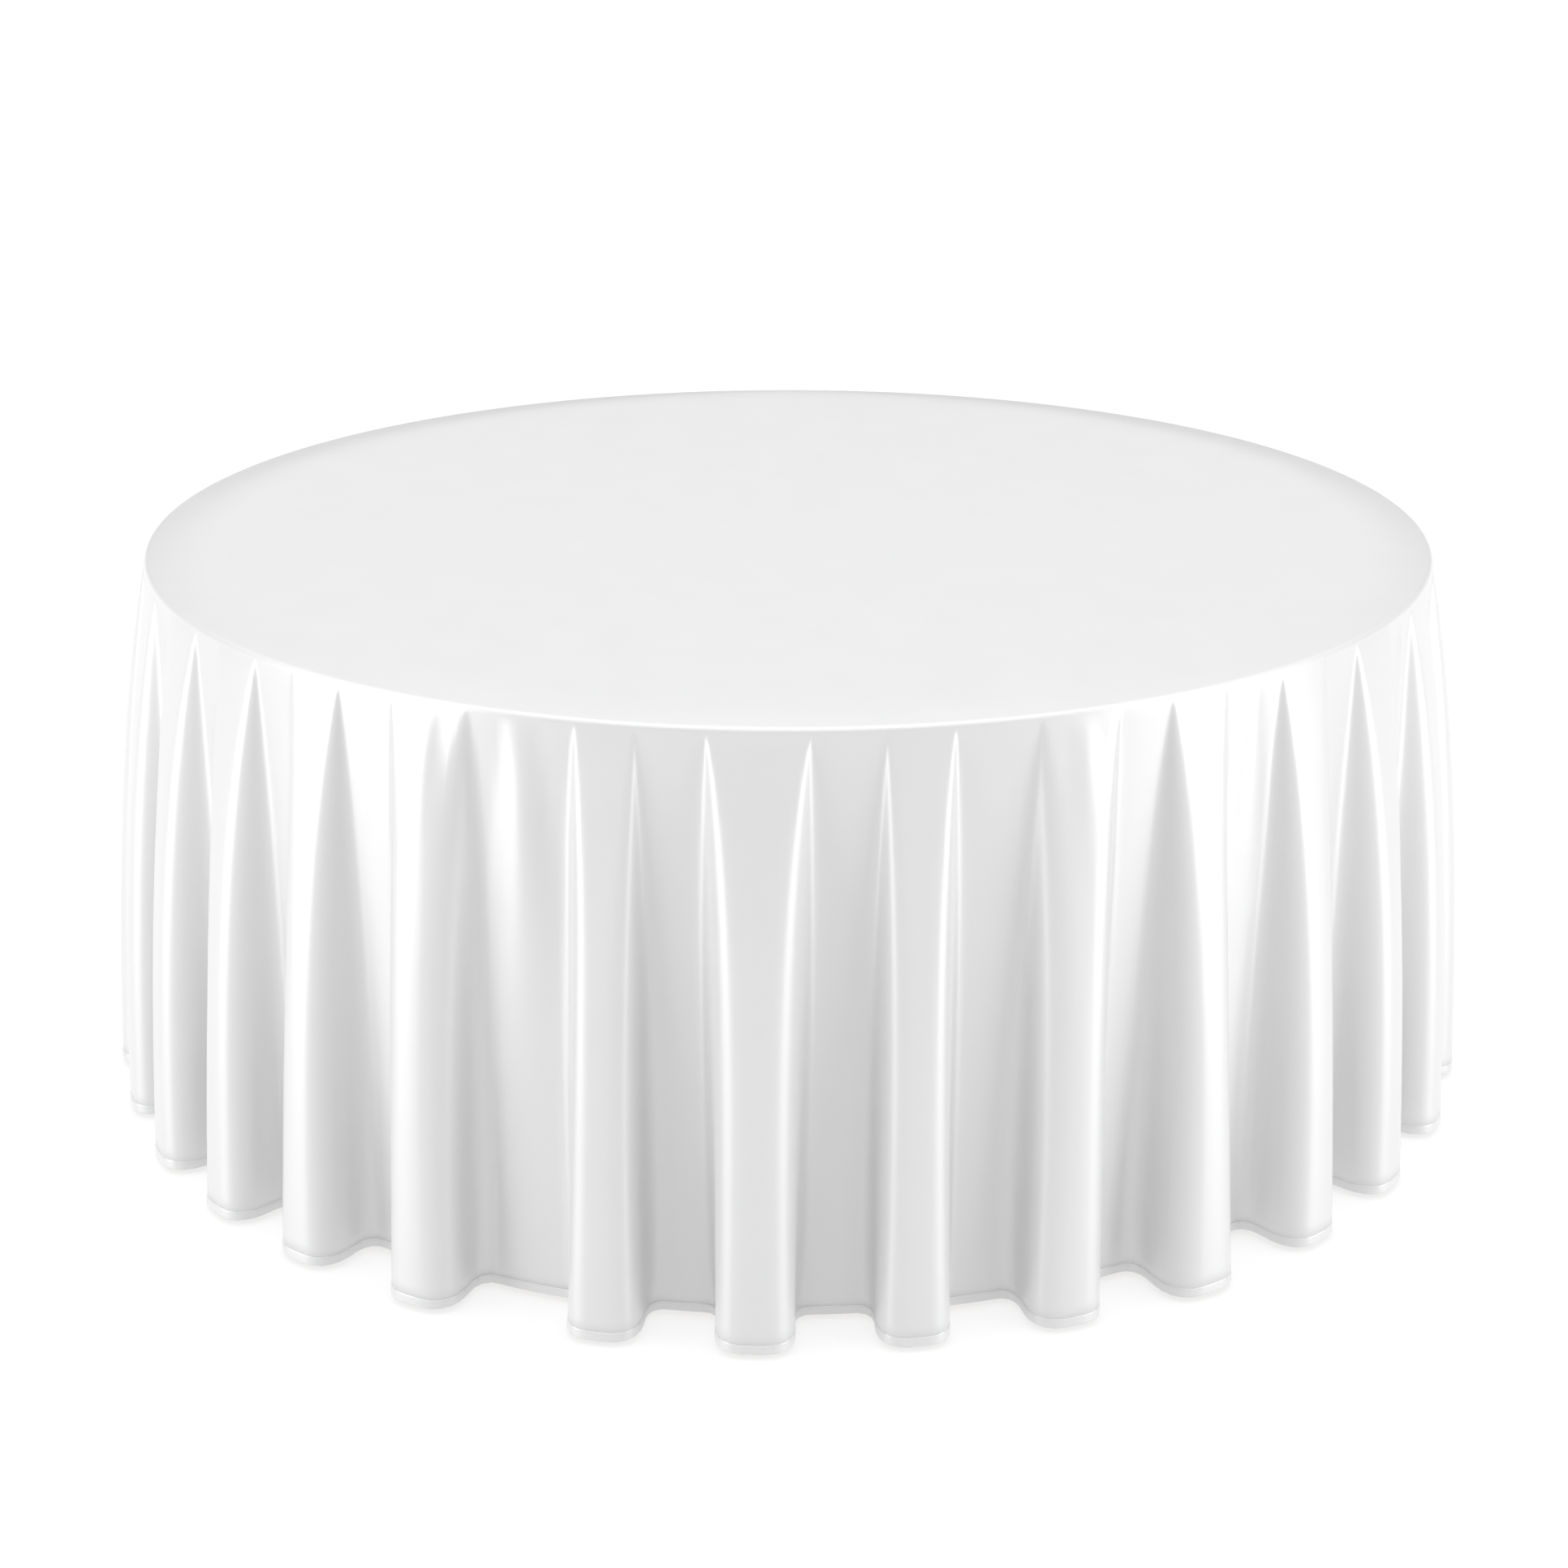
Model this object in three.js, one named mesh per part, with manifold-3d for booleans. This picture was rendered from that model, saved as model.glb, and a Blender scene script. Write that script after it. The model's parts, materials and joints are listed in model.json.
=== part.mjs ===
// A round folding banquet table with a floor-length round satin tablecloth over it.
// Millimetres, +Z up. The origin is on the floor under the middle of the table.
// The two leg frames fold inwards about pivots that run along Y, and knee braces hold them open.
// The tablecloth is one loose piece of cloth that lifts off. Its skirt hangs in upright folds,
// and is made here as a flat disc inside a ring of panels, with a thin cut between each two pieces.

import * as THREE from 'three';
import { mergeVertices } from 'three/addons/utils/BufferGeometryUtils.js';
import Module from 'manifold-3d';

const wasm = await Module();
wasm.setup();

// ---- Driving dimensions -------------------------------------------------------------------------

// Table top.
const TOP_HEIGHT = 762; // floor to the board's upper face
const TOP_DIAMETER = 1800; // across the edge band
const BOARD_THICKNESS = 18;
const BAND_THICKNESS = 3; // radially
const BAND_ROUNDING = 6; // of the band's upper and lower edges, and of the cloth that bends over them
const TOP_SIDES = 60; // facets round the board, the band and the cloth's top

// Timber cleats that the leg frames hang from.
const CLEAT_THICKNESS = 20;
const CLEAT_WIDTH = 70;
const CLEAT_SETBACK = 20; // from the cleat's outer corner to the board's edge, along the cleat

// Steel tubes of the leg frames.
const TUBE_RADIUS = 14.3;
const TUBE_WALL = 1.5;
const TUBE_SIDES = 20;
const PIVOT_INSET = 160; // from the table's edge in to the pivot axis
const PIVOT_DROP = 26; // from the cleat's underside down to the pivot axis
const LEG_LEAN_DEG = 2; // the feet stand a little outboard of the pivots
const LEG_TO_BRACKET = 35; // from a leg's axis out to its pivot bracket's middle
const TUBE_OVERHANG = 8; // of the pivot tube past its bracket's outer ear

// Pivot brackets of folded steel.
const BRACKET_SHEET = 3;
const BRACKET_EAR_RADIUS = 22;
const BRACKET_EAR_SPREAD = 16; // from the bracket's middle to the middle of each ear
const BRACKET_PLATE_X = 64;
const BRACKET_PLATE_Y = 56;
const BRACKET_END_INSET = 56; // from the cleat's end in to the bracket's middle
const BRACKET_SCREW_X = 24; // from the bracket's middle to each screw

// Plastic feet.
const FOOT_WALL = 2.5;
const FOOT_HEIGHT = 34;
const FOOT_SOLE = 6;

// Knee braces.
const BRACE_ARM = 310; // from the pivot axis down the leg to the crossbar
const BRACE_SHORTFALL = 45; // folded, from the crossbar in to the brace's upper pivot
const BRACE_PIVOT_DROP = 20; // from the board's underside down to the brace's upper pivot
const LINK_THICKNESS = 4.5;
const LINK_HALF_WIDTH = 8;
const LINK_SPLIT = 3; // free gap between the two links of a brace, side by side
const EYE_WALL = 5.5; // of metal round the crossbar in the lower link's eye
const COLLAR_WALL = 2;
const COLLAR_LENGTH = 8;
const BRACE_EAR_RADIUS = 8.5;
const BRACE_EAR_SHEET = 2.5;
const BRACE_EAR_INNER = 9.5; // from the brace's middle to each ear's inner face
const BRACE_PLATE_X = 56;
const BRACE_SCREW_X = 20;
const PIN_RADIUS = 3.5;
const PIN_HEAD_RADIUS = 6;
const PIN_HEAD_HEIGHT = 2;

// Pan-head screws.
const SCREW_RADIUS = 2;
const SCREW_HEAD_RADIUS = 4.5;
const SCREW_HEAD_HEIGHT = 2.4;
const SCREW_BITE = 12; // into the timber
const SCREW_SIDES = 10;

// Tablecloth.
const CLOTH_WALL = 2.4; // a closed solid that stands for thin satin
const CLOTH_EASE = 2.5; // radial space between the edge band and the cloth
const CLOTH_LIP = 16; // how far the cloth hangs round below its top before the folds start
const HEM_CLEARANCE = 8; // from the floor up to the hem
const HEM_WIDTH = 14;
const HEM_EXTRA = 0.5; // the folded hem stands out by this much
const FOLD_DEPTH = 88; // from the bottom of a fold to its crest, at the hem
const FOLD_GROWTH = 0.8; // power of the distance below the rim with which the folds deepen
const SKIRT_PANELS = 12;
const FOLDS_PER_PANEL = 3;
const STEPS_PER_FOLD = 6;
const SKIRT_LEVELS = 3;
const BEND_STEPS = 3;

// Clearances.
const GAP = 0.3; // between solids that touch
const RUNNING = 0.35; // radial, between a shaft and what it turns in

// ---- Sizes that follow --------------------------------------------------------------------------

const LEAN = THREE.MathUtils.degToRad(LEG_LEAN_DEG);
const topRadius = TOP_DIAMETER / 2;
const boardRadius = topRadius - BAND_THICKNESS - GAP;
const boardUnderside = TOP_HEIGHT - BOARD_THICKNESS;
const cleatTopZ = boardUnderside - GAP;
const cleatUnderside = cleatTopZ - CLEAT_THICKNESS;
const pivotX = topRadius - PIVOT_INSET;
const pivotZ = cleatUnderside - PIVOT_DROP;
const cleatHalfLength = Math.sqrt(boardRadius ** 2 - (pivotX + CLEAT_WIDTH / 2) ** 2) - CLEAT_SETBACK;
const bracketY = cleatHalfLength - BRACKET_END_INSET;
const legY = bracketY - LEG_TO_BRACKET;
const legLength = pivotZ / Math.cos(LEAN);
const pivotTubeHalf = bracketY + BRACKET_EAR_SPREAD + BRACKET_SHEET / 2 + TUBE_OVERHANG;

// The brace is straight when the legs stand. Folded, its upper link lies level under the board.
const crossbarX = pivotX + BRACE_ARM * Math.sin(LEAN);
const crossbarZ = pivotZ - BRACE_ARM * Math.cos(LEAN);
const bracePivotX = pivotX - BRACE_ARM - BRACE_SHORTFALL;
const bracePivotZ = boardUnderside - BRACE_PIVOT_DROP;
const braceRise = bracePivotZ - pivotZ;
const braceLength = Math.hypot(crossbarX - bracePivotX, crossbarZ - bracePivotZ);
const upperLinkLength =
  (braceLength ** 2 - BRACE_SHORTFALL ** 2 - braceRise ** 2) / (2 * (braceLength - BRACE_SHORTFALL));
const lowerLinkLength = braceLength - upperLinkLength;
const braceAngle = Math.atan2(crossbarZ - bracePivotZ, crossbarX - bracePivotX);

const clothInner = topRadius + CLOTH_EASE;
const clothUnderside = TOP_HEIGHT + GAP;
const clothTopZ = clothUnderside + CLOTH_WALL;
const FOLDS = SKIRT_PANELS * FOLDS_PER_PANEL;
const clothBendX = clothInner - BAND_ROUNDING; // middle of the bend over the table's edge
const clothBendZ = clothUnderside - BAND_ROUNDING;
const foldTopZ = clothTopZ - CLOTH_LIP;
const hemTopZ = HEM_CLEARANCE + HEM_WIDTH;

// ---- Materials ----------------------------------------------------------------------------------

const finish = (color, roughness, metalness) =>
  new THREE.MeshStandardMaterial({ color, roughness, metalness });
const satin = finish(0xf4f4f4, 0.3, 0);
const plywood = finish(0xc9a877, 0.6, 0);
const bandVinyl = finish(0x3b3a38, 0.5, 0);
const timber = finish(0xb08a5a, 0.7, 0);
const paintedSteel = finish(0x4a4d50, 0.45, 0.6);
const zincSteel = finish(0xb5b8bb, 0.35, 0.9);
const blackPlastic = finish(0x1d1d1e, 0.6, 0);

// ---- Solid helpers ------------------------------------------------------------------------------

// A closed geometry as a solid that can be joined and cut.
function toSolid(geometry, matrix = new THREE.Matrix4()) {
  const bare = geometry.clone().applyMatrix4(matrix);
  bare.deleteAttribute('normal');
  bare.deleteAttribute('uv');
  const merged = mergeVertices(bare, 1e-4);
  const vertProperties = new Float32Array(merged.attributes.position.array);
  const triVerts = new Uint32Array(merged.index.array);
  return new wasm.Manifold(new wasm.Mesh({ numProp: 3, vertProperties, triVerts }));
}

function toGeometry(solid) {
  const mesh = solid.getMesh();
  const geometry = new THREE.BufferGeometry();
  geometry.setAttribute('position', new THREE.BufferAttribute(mesh.vertProperties, mesh.numProp));
  geometry.setIndex(new THREE.BufferAttribute(mesh.triVerts, 1));
  return geometry;
}

const at = (x, y, z) => new THREE.Matrix4().makeTranslation(x, y, z);
const alongZ = new THREE.Matrix4().makeRotationX(Math.PI / 2);
const joinAll = (solids) => solids.reduce((whole, piece) => whole.add(piece));
const cutAll = (solid, tools) => tools.reduce((left, tool) => left.subtract(tool), solid);

// A cylinder along Y, from y0 to y1, round (x, z).
const rodY = (radius, x, z, y0, y1, sides = TUBE_SIDES) =>
  toSolid(new THREE.CylinderGeometry(radius, radius, y1 - y0, sides), at(x, (y0 + y1) / 2, z));

// A cylinder along Z, from z0 to z1, round (x, y).
const rodZ = (radius, x, y, z0, z1, sides = TUBE_SIDES) =>
  toSolid(
    new THREE.CylinderGeometry(radius, radius, z1 - z0, sides),
    at(x, y, (z0 + z1) / 2).multiply(alongZ));

// A box between two corners.
function block(x0, x1, y0, y1, z0, z1) {
  const middle = at((x0 + x1) / 2, (y0 + y1) / 2, (z0 + z1) / 2);
  return toSolid(new THREE.BoxGeometry(x1 - x0, y1 - y0, z1 - z0), middle);
}

// An outline in X and Z, made into a plate from y0 to y1.
function plateY(shape, y0, y1) {
  const flat = new THREE.ExtrudeGeometry(shape, { depth: y1 - y0, bevelEnabled: false, curveSegments: 8 });
  return toSolid(flat, at(0, y1, 0).multiply(alongZ));
}

// A round-ended bar's outline from (0, 0) to (length, 0).
function barOutline(length, halfWidth) {
  const shape = new THREE.Shape();
  shape.absarc(length, 0, halfWidth, -Math.PI / 2, Math.PI / 2, false);
  shape.absarc(0, 0, halfWidth, Math.PI / 2, 1.5 * Math.PI, false);
  return shape;
}

// An ear that hangs from a plate at height top and ends round the origin.
function earOutline(radius, top) {
  const shape = new THREE.Shape();
  shape.moveTo(radius, top);
  shape.lineTo(-radius, top);
  shape.absarc(0, 0, radius, Math.PI, 2 * Math.PI, false);
  return shape;
}

// A profile of [radius, height] points turned round the Z axis.
function turned(profile, sides = TOP_SIDES) {
  const points = profile.map(([radius, height]) => new THREE.Vector2(radius, height));
  return new THREE.LatheGeometry(points, sides).applyMatrix4(alongZ);
}

// Points on an arc in a profile, from angle a0 to a1 in degrees.
function arcPoints(x, y, radius, a0, a1, steps) {
  return Array.from({ length: steps + 1 }, (_, i) => {
    const angle = THREE.MathUtils.degToRad(a0 + ((a1 - a0) * i) / steps);
    return [x + radius * Math.cos(angle), y + radius * Math.sin(angle)];
  });
}

// ---- The table top ------------------------------------------------------------------------------

// Screws of one side, as [x, y, height of the face that the screw's head bears on].
function screwSeats() {
  const seats = [];
  for (const dx of [-BRACKET_SCREW_X, BRACKET_SCREW_X]) {
    for (const y of [-bracketY, bracketY]) seats.push([pivotX + dx, y, cleatUnderside - GAP - BRACKET_SHEET]);
  }
  for (const dx of [-BRACE_SCREW_X, BRACE_SCREW_X]) {
    seats.push([bracePivotX + dx, 0, boardUnderside - GAP - BRACE_EAR_SHEET]);
  }
  return seats;
}

const screwHoles = () =>
  screwSeats().map(([x, y, z]) =>
    rodZ(SCREW_RADIUS + GAP, x, y, z - 1, z + BRACKET_SHEET + SCREW_BITE + 1, SCREW_SIDES));

function screw([x, y, z]) {
  const under = z - GAP - SCREW_HEAD_HEIGHT;
  const shank = rodZ(SCREW_RADIUS, x, y, under, z + BRACKET_SHEET + SCREW_BITE, SCREW_SIDES);
  return toGeometry(shank.add(rodZ(SCREW_HEAD_RADIUS, x, y, under, z - GAP, SCREW_SIDES)));
}

const halfTurn = new THREE.Matrix4().makeRotationZ(Math.PI);

function board() {
  const disc = rodZ(boardRadius, 0, 0, boardUnderside, TOP_HEIGHT, TOP_SIDES);
  const right = screwHoles();
  const left = right.map((hole) => toSolid(toGeometry(hole), halfTurn));
  return toGeometry(cutAll(disc, [...right, ...left]));
}

function edgeBand() {
  const inner = topRadius - BAND_THICKNESS;
  const rounding = Math.min(BAND_ROUNDING, BAND_THICKNESS);
  const edge = topRadius - rounding;
  const ring = [
    [inner, boardUnderside],
    ...arcPoints(edge, boardUnderside + rounding, rounding, -90, 0, 2),
    ...arcPoints(edge, TOP_HEIGHT - rounding, rounding, 0, 90, 2),
    [inner, TOP_HEIGHT],
    [inner, boardUnderside],
  ];
  const distinct = ring.filter(([x, y], i) =>
    i === 0 || Math.hypot(x - ring[i - 1][0], y - ring[i - 1][1]) > 0.01);
  return turned(distinct);
}

function cleat() {
  const bar = block(pivotX - CLEAT_WIDTH / 2, pivotX + CLEAT_WIDTH / 2, -cleatHalfLength, cleatHalfLength,
    cleatUnderside, cleatTopZ);
  return toGeometry(cutAll(bar, screwHoles()));
}

// ---- Brackets -----------------------------------------------------------------------------------

// A plate screwed under the cleat, with two ears that the pivot tube turns in.
function pivotBracket(side) {
  const y = side * bracketY;
  const plateTop = cleatUnderside - GAP;
  const plateUnder = plateTop - BRACKET_SHEET;
  const plate = block(pivotX - BRACKET_PLATE_X / 2, pivotX + BRACKET_PLATE_X / 2,
    y - BRACKET_PLATE_Y / 2, y + BRACKET_PLATE_Y / 2, plateUnder, plateTop);
  const ears = [-1, 1].map((way) => {
    const middle = y + way * BRACKET_EAR_SPREAD;
    const shape = earOutline(BRACKET_EAR_RADIUS, plateTop - BRACKET_SHEET / 2 - pivotZ);
    const ear = plateY(shape, middle - BRACKET_SHEET / 2, middle + BRACKET_SHEET / 2);
    return ear.translate([pivotX, 0, pivotZ]);
  });
  const bore = rodY(TUBE_RADIUS + RUNNING, pivotX, pivotZ, y - BRACKET_PLATE_Y, y + BRACKET_PLATE_Y);
  return toGeometry(cutAll(joinAll([plate, ...ears]), [bore, ...screwHoles()]));
}

// A small hanger under the board that the upper link's pin passes through.
function braceBracket() {
  const plateTop = boardUnderside - GAP;
  const outer = BRACE_EAR_INNER + BRACE_EAR_SHEET;
  const plate = block(bracePivotX - BRACE_PLATE_X / 2, bracePivotX + BRACE_PLATE_X / 2, -outer, outer,
    plateTop - BRACE_EAR_SHEET, plateTop);
  const ears = [[-outer, -BRACE_EAR_INNER], [BRACE_EAR_INNER, outer]].map(([y0, y1]) => {
    const shape = earOutline(BRACE_EAR_RADIUS, plateTop - BRACE_EAR_SHEET / 2 - bracePivotZ);
    return plateY(shape, y0, y1).translate([bracePivotX, 0, bracePivotZ]);
  });
  const bore = rodY(PIN_RADIUS + RUNNING, bracePivotX, bracePivotZ, -2 * outer, 2 * outer);
  return toGeometry(cutAll(joinAll([plate, ...ears]), [bore, ...screwHoles()]));
}

function bracePin() {
  const shank = BRACE_EAR_INNER + BRACE_EAR_SHEET + GAP;
  const tail = shank + PIN_HEAD_HEIGHT;
  const pieces = [
    rodY(PIN_RADIUS, bracePivotX, bracePivotZ, -tail, tail, 12),
    rodY(PIN_HEAD_RADIUS, bracePivotX, bracePivotZ, shank, tail, 12),
    rodY(PIN_HEAD_RADIUS, bracePivotX, bracePivotZ, -tail, -shank, 12),
  ];
  return toGeometry(joinAll(pieces));
}

// ---- Knee brace ---------------------------------------------------------------------------------

// The two links lie side by side in Y, so that neither meets the other as they fold.
const upperLinkY = [-LINK_SPLIT / 2 - LINK_THICKNESS, -LINK_SPLIT / 2];
const lowerLinkY = [LINK_SPLIT / 2, LINK_SPLIT / 2 + LINK_THICKNESS];

// Turns a link made along +X to the standing brace's slope and puts its start at (x, z).
const onSlope = (x, z, angle) => at(x, 0, z).multiply(new THREE.Matrix4().makeRotationY(-angle));

function upperLink() {
  const [y0, y1] = upperLinkY;
  const bar = plateY(barOutline(upperLinkLength, LINK_HALF_WIDTH), y0, y1);
  const bores = [0, upperLinkLength].map((x) => rodY(PIN_RADIUS + RUNNING, x, 0, y0 - 1, y1 + 1, 12));
  return toGeometry(cutAll(bar, bores)).applyMatrix4(onSlope(bracePivotX, bracePivotZ, braceAngle));
}

// Its eye turns on the crossbar.
function lowerLink() {
  const [y0, y1] = lowerLinkY;
  const bar = plateY(barOutline(lowerLinkLength, LINK_HALF_WIDTH), y0, y1);
  const eye = rodY(TUBE_RADIUS + RUNNING + EYE_WALL, 0, 0, y0, y1);
  const bore = rodY(TUBE_RADIUS + RUNNING, 0, 0, y0 - 1, y1 + 1);
  const link = cutAll(bar.add(eye), [bore]);
  return toGeometry(link).applyMatrix4(onSlope(crossbarX, crossbarZ, braceAngle + Math.PI));
}

// The rivet of the knee. It sits in the upper link and stops just short of the lower one.
function kneeRivet() {
  const [y0] = upperLinkY;
  const x = bracePivotX + upperLinkLength * Math.cos(braceAngle);
  const z = bracePivotZ + upperLinkLength * Math.sin(braceAngle);
  const shank = rodY(PIN_RADIUS, x, z, y0 - GAP - PIN_HEAD_HEIGHT, LINK_SPLIT / 2 - GAP, 12);
  const head = rodY(PIN_HEAD_RADIUS, x, z, y0 - GAP - PIN_HEAD_HEIGHT, y0 - GAP, 12);
  return toGeometry(shank.add(head));
}

// ---- Leg frame ----------------------------------------------------------------------------------

// Each piece is made about the pivot axis with the leg straight down, then leant outwards.
const leant = at(pivotX, 0, pivotZ).multiply(new THREE.Matrix4().makeRotationY(-LEAN));
const lean = (solid) => toGeometry(solid).applyMatrix4(leant);
const boreRadius = TUBE_RADIUS - TUBE_WALL;

function pivotTube() {
  const outside = rodY(TUBE_RADIUS, 0, 0, -pivotTubeHalf, pivotTubeHalf);
  return lean(outside.subtract(rodY(boreRadius, 0, 0, -pivotTubeHalf - 1, pivotTubeHalf + 1)));
}

// Its upper end is coped to the pivot tube.
function leg(side) {
  const y = side * legY;
  const foot = -legLength + FOOT_SOLE;
  const wall = rodZ(TUBE_RADIUS, 0, y, foot, 0).subtract(rodZ(boreRadius, 0, y, foot - 1, 1));
  return lean(wall.subtract(rodY(TUBE_RADIUS + GAP, 0, 0, y - 2 * TUBE_RADIUS, y + 2 * TUBE_RADIUS)));
}

// Its ends are coped to the legs.
function crossbar() {
  const outside = rodY(TUBE_RADIUS, 0, -BRACE_ARM, -legY, legY);
  const hollow = rodY(boreRadius, 0, -BRACE_ARM, -legY - 1, legY + 1);
  const legs = [-legY, legY].map((y) => rodZ(TUBE_RADIUS + GAP, 0, y, -BRACE_ARM - 30, -BRACE_ARM + 30));
  return lean(cutAll(outside, [hollow, ...legs]));
}

// A collar on the crossbar, beside the lower link's eye.
function collar(side) {
  const near = side > 0 ? lowerLinkY[1] + GAP : lowerLinkY[0] - GAP - COLLAR_LENGTH;
  const outside = rodY(TUBE_RADIUS + GAP + COLLAR_WALL, 0, -BRACE_ARM, near, near + COLLAR_LENGTH);
  return lean(outside.subtract(rodY(TUBE_RADIUS + GAP, 0, -BRACE_ARM, near - 1, near + COLLAR_LENGTH + 1)));
}

// A cup round the leg's lower end. Its sole is cut level with the floor.
function footCap(side) {
  const y = side * legY;
  const sole = -legLength - FOOT_SOLE;
  const rim = -legLength + FOOT_HEIGHT;
  const cup = rodZ(TUBE_RADIUS + GAP + FOOT_WALL, 0, y, sole, rim)
    .subtract(rodZ(TUBE_RADIUS + GAP, 0, y, -legLength + FOOT_SOLE - GAP, rim + 1));
  const standing = toSolid(lean(cup));
  const reach = 2 * topRadius;
  return toGeometry(standing.subtract(block(-reach, reach, -reach, reach, -reach, 0)));
}

// ---- Tablecloth ---------------------------------------------------------------------------------

// The flat top, a plain disc inside the panels' bends.
function clothTop() {
  const radius = clothBendX - GAP;
  const profile = [[0, clothUnderside], [radius, clothUnderside], [radius, clothTopZ], [0, clothTopZ]];
  return turned(profile, FOLDS * STEPS_PER_FOLD);
}

// The skirt's inner radius at a bearing and a depth below the rim from 0 to 1: a cosine wave whose
// height grows with depth, and whose lowest points stay clear of the table's edge.
const skirtRadius = (bearing, depth) =>
  clothInner + (FOLD_DEPTH * depth ** FOLD_GROWTH * (1 - Math.cos(FOLDS * bearing))) / 2;

// A wall between two grids of points, closed at its ends or joined into a ring.
// Each grid is rows from top to bottom, and each row runs anticlockwise seen from above.
function wallGeometry(outer, inner, ring) {
  const rows = outer.length;
  const columns = outer[0].length;
  const points = [...outer.flat(), ...inner.flat()];
  const index = [];
  const id = (layer, row, column) => layer * rows * columns + row * columns + (column % columns);
  const quad = (a, b, c, d) => index.push(a, b, c, a, c, d);
  const spans = ring ? columns : columns - 1;
  for (let c = 0; c < spans; c += 1) {
    for (let r = 0; r < rows - 1; r += 1) {
      quad(id(0, r, c), id(0, r + 1, c), id(0, r + 1, c + 1), id(0, r, c + 1));
      quad(id(1, r, c), id(1, r, c + 1), id(1, r + 1, c + 1), id(1, r + 1, c));
    }
    quad(id(0, 0, c), id(0, 0, c + 1), id(1, 0, c + 1), id(1, 0, c));
    quad(id(0, rows - 1, c), id(1, rows - 1, c), id(1, rows - 1, c + 1), id(0, rows - 1, c + 1));
  }
  for (let r = 0; r < rows - 1 && !ring; r += 1) {
    const last = columns - 1;
    quad(id(0, r, 0), id(1, r, 0), id(1, r + 1, 0), id(0, r + 1, 0));
    quad(id(0, r, last), id(0, r + 1, last), id(1, r + 1, last), id(1, r, last));
  }
  const geometry = new THREE.BufferGeometry();
  geometry.setAttribute('position', new THREE.Float32BufferAttribute(points.flat(), 3));
  geometry.setIndex(index);
  return geometry;
}

const skirtPoint = (bearing, depth, z, outward) => {
  const radius = skirtRadius(bearing, depth) + outward;
  return [radius * Math.cos(bearing), radius * Math.sin(bearing), z];
};

// A panel bends over the table's edge, hangs round for a little way, then falls in folds.
function skirtPanel(number) {
  const sweep = (2 * Math.PI) / SKIRT_PANELS;
  const cut = GAP / clothInner;
  const steps = FOLDS_PER_PANEL * STEPS_PER_FOLD;
  const bearings = Array.from({ length: steps + 1 }, (_, step) =>
    number * sweep + cut / 2 + ((sweep - cut) * step) / steps);
  const bend = (outward) =>
    arcPoints(clothBendX, clothBendZ, BAND_ROUNDING + outward, 90, 0, BEND_STEPS).map(([radius, z]) =>
      bearings.map((bearing) => [radius * Math.cos(bearing), radius * Math.sin(bearing), z]));
  const folds = (outward) =>
    Array.from({ length: SKIRT_LEVELS + 1 }, (_, level) => {
      const depth = level / SKIRT_LEVELS;
      const z = foldTopZ + (hemTopZ + GAP - foldTopZ) * depth;
      return bearings.map((bearing) => skirtPoint(bearing, depth, z, outward));
    });
  const grid = (outward) => [...bend(outward), ...folds(outward)];
  return wallGeometry(grid(CLOTH_WALL), grid(0), false);
}

function hem() {
  const steps = FOLDS * STEPS_PER_FOLD;
  const grid = (outward) =>
    [hemTopZ, HEM_CLEARANCE].map((z) =>
      Array.from({ length: steps }, (_, step) => skirtPoint((2 * Math.PI * step) / steps, 1, z, outward)));
  return wallGeometry(grid(CLOTH_WALL + HEM_EXTRA), grid(0), true);
}

// ---- Assembly -----------------------------------------------------------------------------------

const group = new THREE.Group();

function place(parent, name, geometry, material) {
  const mesh = new THREE.Mesh(geometry, material);
  mesh.name = name;
  parent.add(mesh);
}

// One end of the table: everything that the leg frame at +X needs. The other end is it turned round.
function tableEnd(end) {
  const half = new THREE.Group();
  place(half, `cleat_${end}`, cleat(), timber);
  place(half, `brace_bracket_${end}`, braceBracket(), zincSteel);
  place(half, `brace_pin_${end}`, bracePin(), zincSteel);
  place(half, `pivot_tube_${end}`, pivotTube(), paintedSteel);
  place(half, `crossbar_${end}`, crossbar(), paintedSteel);
  place(half, `brace_upper_link_${end}`, upperLink(), paintedSteel);
  place(half, `brace_lower_link_${end}`, lowerLink(), paintedSteel);
  place(half, `knee_rivet_${end}`, kneeRivet(), zincSteel);
  screwSeats().forEach((seat, i) => place(half, `screw_${end}_${i + 1}`, screw(seat), zincSteel));
  for (const [side, name] of [[-1, 'a'], [1, 'b']]) {
    place(half, `pivot_bracket_${end}_${name}`, pivotBracket(side), zincSteel);
    place(half, `leg_${end}_${name}`, leg(side), paintedSteel);
    place(half, `crossbar_collar_${end}_${name}`, collar(side), zincSteel);
    place(half, `foot_cap_${end}_${name}`, footCap(side), blackPlastic);
  }
  return half;
}

place(group, 'tabletop', board(), plywood);
place(group, 'edge_band', edgeBand(), bandVinyl);
const right = tableEnd('right');
const left = tableEnd('left');
left.rotation.z = Math.PI;
group.add(right, left);
place(group, 'tablecloth_top', clothTop(), satin);
for (let number = 0; number < SKIRT_PANELS; number += 1) {
  place(group, `tablecloth_skirt_${String(number + 1).padStart(2, '0')}`, skirtPanel(number), satin);
}
place(group, 'tablecloth_hem', hem(), satin);

export default group;
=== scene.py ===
"""A round folding banquet table under a floor-length satin tablecloth.

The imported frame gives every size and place. The cloth is worked out here: a flat top, a bend round
the table's edge, and a skirt whose folds keep the length of the flat-cut cloth at every height.
Units are metres, +Z is up, and the front of the table faces -Y.
"""

import json
import logging
import math
from dataclasses import dataclass, field
from enum import Enum

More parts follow.
